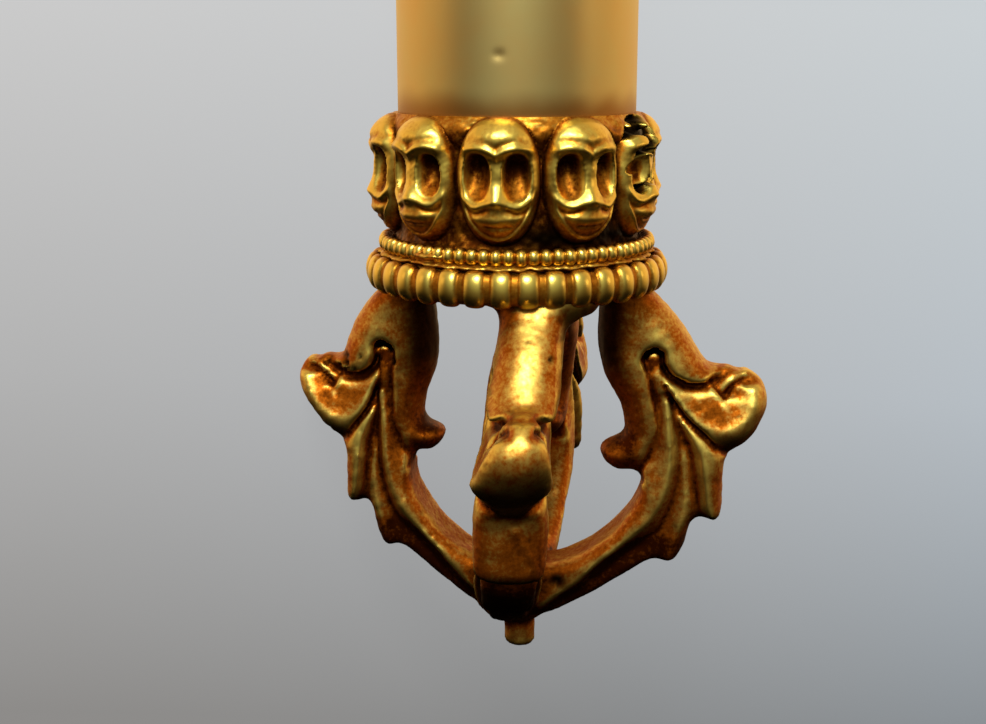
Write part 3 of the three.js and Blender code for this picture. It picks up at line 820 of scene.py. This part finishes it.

# Tarnish round the eye, in the lobe's dish and on the hook. Painted shade under the lobe and on the blade's
# bevel beyond its ridge.
in_dish = 0.06 + 0.12 * inward * step(0.2, 1.4, rim_far)
tarnish_and_shade = 0.6 * bell(eye_ring, 1.1) + lobe_mask * (1 - stem_mask) * in_dish
# Painted shade under the lobe.
tarnish_and_shade = tarnish_and_shade + 0.3 * under_lobe * (1 - lobe_mask)
on_hook = step(5.0, 8.0, plan[..., 0]) * step(13.0, 11.6, plan[..., 0]) * step(13.4, 12.0, plan[..., 1])
tarnish_and_shade = tarnish_and_shade + 0.15 * on_hook
# Painted shade on the blade's bevel beyond its ridge.
under_blade = (blade_side > 0) * step(16.5, 19.5, plan[..., 0]) * step(1.8, 4.0, plan[..., 1])
tarnish_and_shade = tarnish_and_shade + 0.5 * step(0.1, 0.7, blade_far) * under_blade


def sampled(field, stations, outs):
    """A plan's value at a station and a distance out, between its rows and columns."""
    place = np.clip((outs - plan_outs[0]) / PLAN_STEP, 0, len(plan_outs) - 1.001)
    row = np.clip((stations - CAGE_FROM) / PLAN_STEP, 0, len(plan_stations) - 1.001)
    low, low_row = place.astype(int), row.astype(int)
    part, row_part = place - low, row - low_row
    before = field[low_row, low] * (1 - part) + field[low_row, low + 1] * part
    after = field[low_row + 1, low] * (1 - part) + field[low_row + 1, low + 1] * part
    return before * (1 - row_part) + after * row_part


def plan_place(stations, outs, shrink, lift):
    """Where a point of a prong lies on the plan: its distance out is stretched back by the prong's own
    shrink, and its station is moved by how far the prong's hook and leaves sit higher."""
    unbent = outs / (1 - shrink * step(0, 0.5, (stations + 8.8) / 38.1))
    raised = 0.4 * step(6, 14, stations) + 1.3 * step(14.5, 12.5, unbent) * bell(stations - 9.0, 3.2)
    return stations + lift * raised, unbent


# The cage's field gives, for each cell of a block, how far it lies outside the metal, or less than nothing
# inside. Prongs, foot and stub are joined in it, and the mesh is the surface where it is nothing.
cage_axis = np.arange(-CAGE_HALF, CAGE_HALF, VOXEL)
right_grid, front_grid = np.meshgrid(cage_axis, cage_axis, indexing="ij")
away_from_axis = np.hypot(right_grid, front_grid)
station_column = np.arange(CAGE_FROM, CAGE_TO, VOXEL)[:, None]
body_field = np.full((len(station_column), *right_grid.shape), OPEN_REACH, dtype=np.float32)


def joined(cells, shape, reach=0.5):
    """Joins a shape, given as distances on some cells of every plane, to the cage's field."""
    old = body_field[:, cells[0], cells[1]]
    body_field[:, cells[0], cells[1]] = -blend_max(-old, -shape.astype(np.float32), reach)


for turn_degrees, shrink, lift, sways in zip(PRONG_TURNS, PRONG_SHRINK, PRONG_RAISE, SWAYS):
    turn_angle = math.radians(turn_degrees)
    outs = right_grid * math.sin(turn_angle) + front_grid * math.cos(turn_angle)
    sides = right_grid * math.cos(turn_angle) - front_grid * math.sin(turn_angle)
    cells = np.nonzero((np.abs(sides) < OPEN_REACH) & (outs > -3.2) & (outs < CAGE_HALF))
    outs, sides = outs[cells], sides[cells]
    rows, unbent = plan_place(station_column * np.ones(len(outs)), outs, shrink, lift)
    inset = sampled(edge, rows, unbent)
    half = sampled(half_width, rows, unbent)
    sides = sides - np.interp(station_column, SWAY_STATIONS, sways)
    corner = sampled(rounding, rows, unbent)
    joined(cells, blend_max(-inset, np.abs(sides) - half, corner))

foot_cells = np.nonzero(away_from_axis < 20)
foot_out = away_from_axis[foot_cells]
foot_shape = blend_max(foot_out - FOOT_RADIUS, np.abs(station_column - FOOT_MIDDLE) - FOOT_HALF, 0.6)
joined(foot_cells, foot_shape)

# The front prong's root spreads over the foot as a flat lump.
flare_cells = np.nonzero((front_grid > 5) & (front_grid < 15) & (np.abs(right_grid - 4) < 7))
flare_far = np.sqrt(
    ((station_column + 8.6) / 2.0) ** 2
    + ((right_grid[flare_cells] - 3.0) / 4.6) ** 2
    + ((front_grid[flare_cells] - 11.4) / 2.4) ** 2
)
joined(flare_cells, 2.4 * (flare_far - 1), 1.6)

stub_cells = np.nonzero(away_from_axis < 8)
stub_out = np.hypot(right_grid[stub_cells] - 0.5, front_grid[stub_cells])
stub_side = stub_out - STUB_RADIUS + 0.02 * (station_column - 28)
stub_shape = blend_max(stub_side, np.abs(station_column - STUB_MIDDLE) - STUB_HALF, 0.5)
joined(stub_cells, stub_shape)

# Single cells that differ from all six beside them would be specks in the mesh, so they are turned.
solid_cells = np.pad(body_field < 0, 1)
beside = sum(np.roll(solid_cells, way, axis=axis) for axis in range(3) for way in (-1, 1))
specks = np.where(solid_cells, beside == 0, beside == 6)[1:-1, 1:-1, 1:-1]
body_field[specks] *= -1

cage_grid = vdb.FloatGrid(background=OPEN_REACH)
cage_grid.copyFromArray(body_field)
cage_cells, _, cage_quads = cage_grid.convertToPolygons(0.0, 0.0)
cage_stations = CAGE_FROM + cage_cells[:, 0] * VOXEL
cage_rights = -CAGE_HALF + cage_cells[:, 1] * VOXEL
cage_fronts = -CAGE_HALF + cage_cells[:, 2] * VOXEL
cage_places = np.stack([cage_stations, cage_rights, cage_fronts], axis=1)


def field_at(cells):
    """The cage's field between its cells, weighted by nearness along each of the three directions."""
    top = np.array(body_field.shape) - 1.001
    place = np.clip(cells, 0, top)
    low = place.astype(int)
    part = place - low
    total = 0
    for corner in range(8):
        offset = np.array([corner >> 2 & 1, corner >> 1 & 1, corner & 1])
        weight = np.prod(np.where(offset, part, 1 - part), axis=1)
        total = total + weight * body_field[tuple((low + offset).T)]
    return total


slopes = np.stack(
    [field_at(cage_cells + np.eye(3)[i]) - field_at(cage_cells - np.eye(3)[i]) for i in range(3)], axis=1
)
slopes /= np.linalg.norm(slopes, axis=1)[:, None] + 1e-9
seen = sum(field_at(cage_cells + slopes * d / VOXEL) / d for d in (0.7, 1.4, 2.8)) / 3
edge_reach = 0.525 / VOXEL  # in cells
rounded = sum(field_at(cage_cells + s * np.eye(3)[i] * edge_reach) for i in range(3) for s in (-1, 1)) / 6

# Casting pits on the side that shows, as station, right, radius and depth. The deep ones are painted black
# inside as shade.
pits = [
    (-4.3, 2.9, 0.22, 0.3), (-7.5, 1.0, 0.14, 0.12), (-5.8, 0.85, 0.16, 0.12), (23.3, 4.3, 0.6, 0.55),
    (-0.3, -12.9, 0.24, 0.3), (0.6, -12.3, 0.15, 0.15), (-3.6, -14.4, 0.16, 0.15), (7.7, 17.7, 0.16, 0.25),
]
pit_draw = np.random.default_rng(17)
for _ in range(12):
    middle = np.array([0.15, -18.0]) + pit_draw.normal(0, 1, 2) * (0.45, 0.9)
    pits.append((*middle, pit_draw.uniform(0.16, 0.34), pit_draw.uniform(0.2, 0.45)))
for _ in range(110):
    pits.append((*pit_draw.uniform((-8, -24), (20, 24)), pit_draw.uniform(0.12, 0.26), 0.1))
pits_shaded = np.zeros(len(cage_places))
shift = 0.05 * waves(cage_places, 4.5, 31, 2) + 0.025 * waves(cage_places, 1.3, 32, 2)
facing = (slopes[:, 2] > 0.1) & (cage_fronts > -2)
for *middle, radius, depth in pits:
    from_pit = np.linalg.norm(cage_places[:, :2] - middle, axis=1)
    shift -= depth * bell(from_pit, radius) * facing
    pit_shade = np.minimum(1, 1.5 * bell(from_pit, 1.25 * radius) * facing) * min(1, depth * 4)
    pits_shaded = np.maximum(pits_shaded, pit_shade)

# A fine raised seam of casting flash on the front prong.
flash_line = curve([(10.6, -0.5), (13.0, 0.9), (14.6, 1.5), (16.6, 1.7), (19.0, 1.2), (21.5, -0.2)])
flash_far = along_line(cage_places[:, :2], flash_line)[0]
shift += 0.16 * bell(flash_far, 0.2) * (cage_fronts > 14)
cage_places = cage_places + shift[:, None] * slopes
cage = new_mesh("prong_cage_casting", in_row(*cage_places.T), cage_quads)
give(cage, "open", np.clip(1.35 * seen - 0.3, 0, 1))
cage_out = np.hypot(cage_rights, cage_fronts)

# The parts near the axis, from the foot down to the hooks, are painted darker as shade, and the blades,
# leaves and stub darker and more orange, the front prong's most. Each point also has the tarnish and painted
# shade of the prong that it lies furthest out on, four tenths stronger on the left prong. Black is painted as
# shade in corners and pits, on the side prongs' inner faces near the foot, on faces turned towards the tip,
# on the front prong's lower end and on the right of its root.
inner = step(17.5, 12.5, cage_out) * step(-3.0, 2.0, cage_stations) * step(15.5, 12.5, cage_stations)
inner = np.maximum(inner, 0.8 * step(15.5, 11.5, cage_out) * step(14, 10, cage_stations))
inner = np.maximum(inner, (0.5 + 0.4 * (cage_fronts > 8)) * step(9.0, 12.0, cage_stations))
painted = np.zeros(len(cage_places))
best_out = np.full(len(cage_places), -1e9)
# Painted shade: the left prong's tarnish is made four tenths stronger.
for turn_degrees, shrink, lift in zip(PRONG_TURNS, PRONG_SHRINK, PRONG_RAISE):
    turn_angle = math.radians(turn_degrees)
    outs = cage_rights * math.sin(turn_angle) + cage_fronts * math.cos(turn_angle)
    on_prong = sampled(tarnish_and_shade, *plan_place(cage_stations, outs, shrink, lift))
    painted = np.where(outs > best_out, on_prong * (1 + 0.4 * lift), painted)
    best_out = np.maximum(outs, best_out)
# Painted shade: black on the side prongs' inner faces near the foot.
shadowed = 0.92 * step(13.4, 10.6, cage_out) * step(2.5, -1.5, cage_stations) * (np.abs(cage_rights) > 6)
give(cage, "worn", np.clip(0.46 + rounded / 0.36 - 0.26 * inner - painted, 0, 1))
# Painted shade: black on faces turned towards the tip, on the front prong's lower end and on the right of its
# root.
underside_shade = 0.85 * step(17.9, 19.0, cage_stations + 0.02 * cage_rights**2) * (cage_fronts > 10.5)
below = cage_stations > 3
underside_shade = np.maximum(underside_shade, 0.75 * step(0.3, 0.85, slopes[:, 0]) * below)
underside_shade = np.maximum(underside_shade, 0.9 * step(0.05, 0.6, slopes[:, 0]) * below * (cage_fronts > 20))
root_right_shade = step(2.8, 4.6, cage_rights) * (cage_fronts > 8) * (cage_stations < -5.5)
underside_shade = np.maximum(underside_shade, 0.75 * root_right_shade)
# Painted shade: black in enclosed corners and in the pits, together with the shade above.
give(cage, "dirt", np.max([np.clip(1 - 2.2 * seen, 0, 1), 0.9 * pits_shaded, shadowed, underside_shade], axis=0))
cage_gold = gold(
    "rubbed_cast_gold", "451A02", "A0540F", "D6B858", rough_worn=0.36, rough_deep=0.52, grain=0.6
)
cage.data.materials.append(cage_gold)
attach(cage, "root")
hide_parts("prong_cage")


# End cap, a plain flared casting pushed on the far end of the shaft, with its own beaded ring. The photograph
# cuts this end off, so it repeats what the head shows and stays plainer.
cap_low, cap_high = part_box("butt_cap")
cap_end = (cap_low[0] - station_zero) * 1000
cap_top = (cap_high[0] - station_zero) * 1000
cap_radius = (cap_high[2] - cap_low[2]) / 2 * 1000
cap_profile = curve(
    [
        (cap_end + 0.03, 1), (cap_end + 0.03, 6), (cap_end + 0.03, cap_radius - 6),
        (cap_end + 0.2, cap_radius - 4.6), (cap_end + 1.2, cap_radius - 1.6),
        (cap_end + 2.5, cap_radius - 0.3), (cap_end + 3.6, cap_radius), (cap_end + 4.7, cap_radius - 0.3),
        (cap_end + 6.0, cap_radius - 1.4), (cap_end + 7.6, 14.6), (cap_end + 9.4, 13.3),
        (cap_end + 10.6, 13.0), (cap_end + 12.6, 12.85), (cap_top, 12.8), (cap_top, 12.2),
    ],
    steps=8,
)
cap_columns = 200
cap_stations = cap_profile[:, :1] * np.ones(cap_columns)
cap_radii = cap_profile[:, 1:] * np.ones(cap_columns)
cap_turns = np.linspace(0, 2 * math.pi, cap_columns, endpoint=False) * np.ones_like(cap_radii)
cap_shades = {"worn": 0.4 + 0.3 * step(14, 18, cap_radii), "open": np.full_like(cap_radii, 0.9)}
cap = turned("flared_cap", cap_stations, cap_radii, cap_turns, **cap_shades)
cap.data.materials.append(cast_gold)
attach(cap, "root")
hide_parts("butt_cap")

cap_ring_low, cap_ring_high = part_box("butt_bead_ring")
cap_ring_at = ((cap_ring_low[0] + cap_ring_high[0]) / 2 - station_zero) * 1000
cap_beads = {"beads": 26, "half_height": 1.25, "half_rise": 0.85, "spacer": 0.6, "plump": 0.38}
cap_ring = bead_ring("cap_beads", cap_ring_at, 14.0, per_bead=18, around=16, seed=8, **cap_beads)
cap_ring.data.materials.append(bead_gold)
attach(cap_ring, "root")
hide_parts("butt_bead_ring")
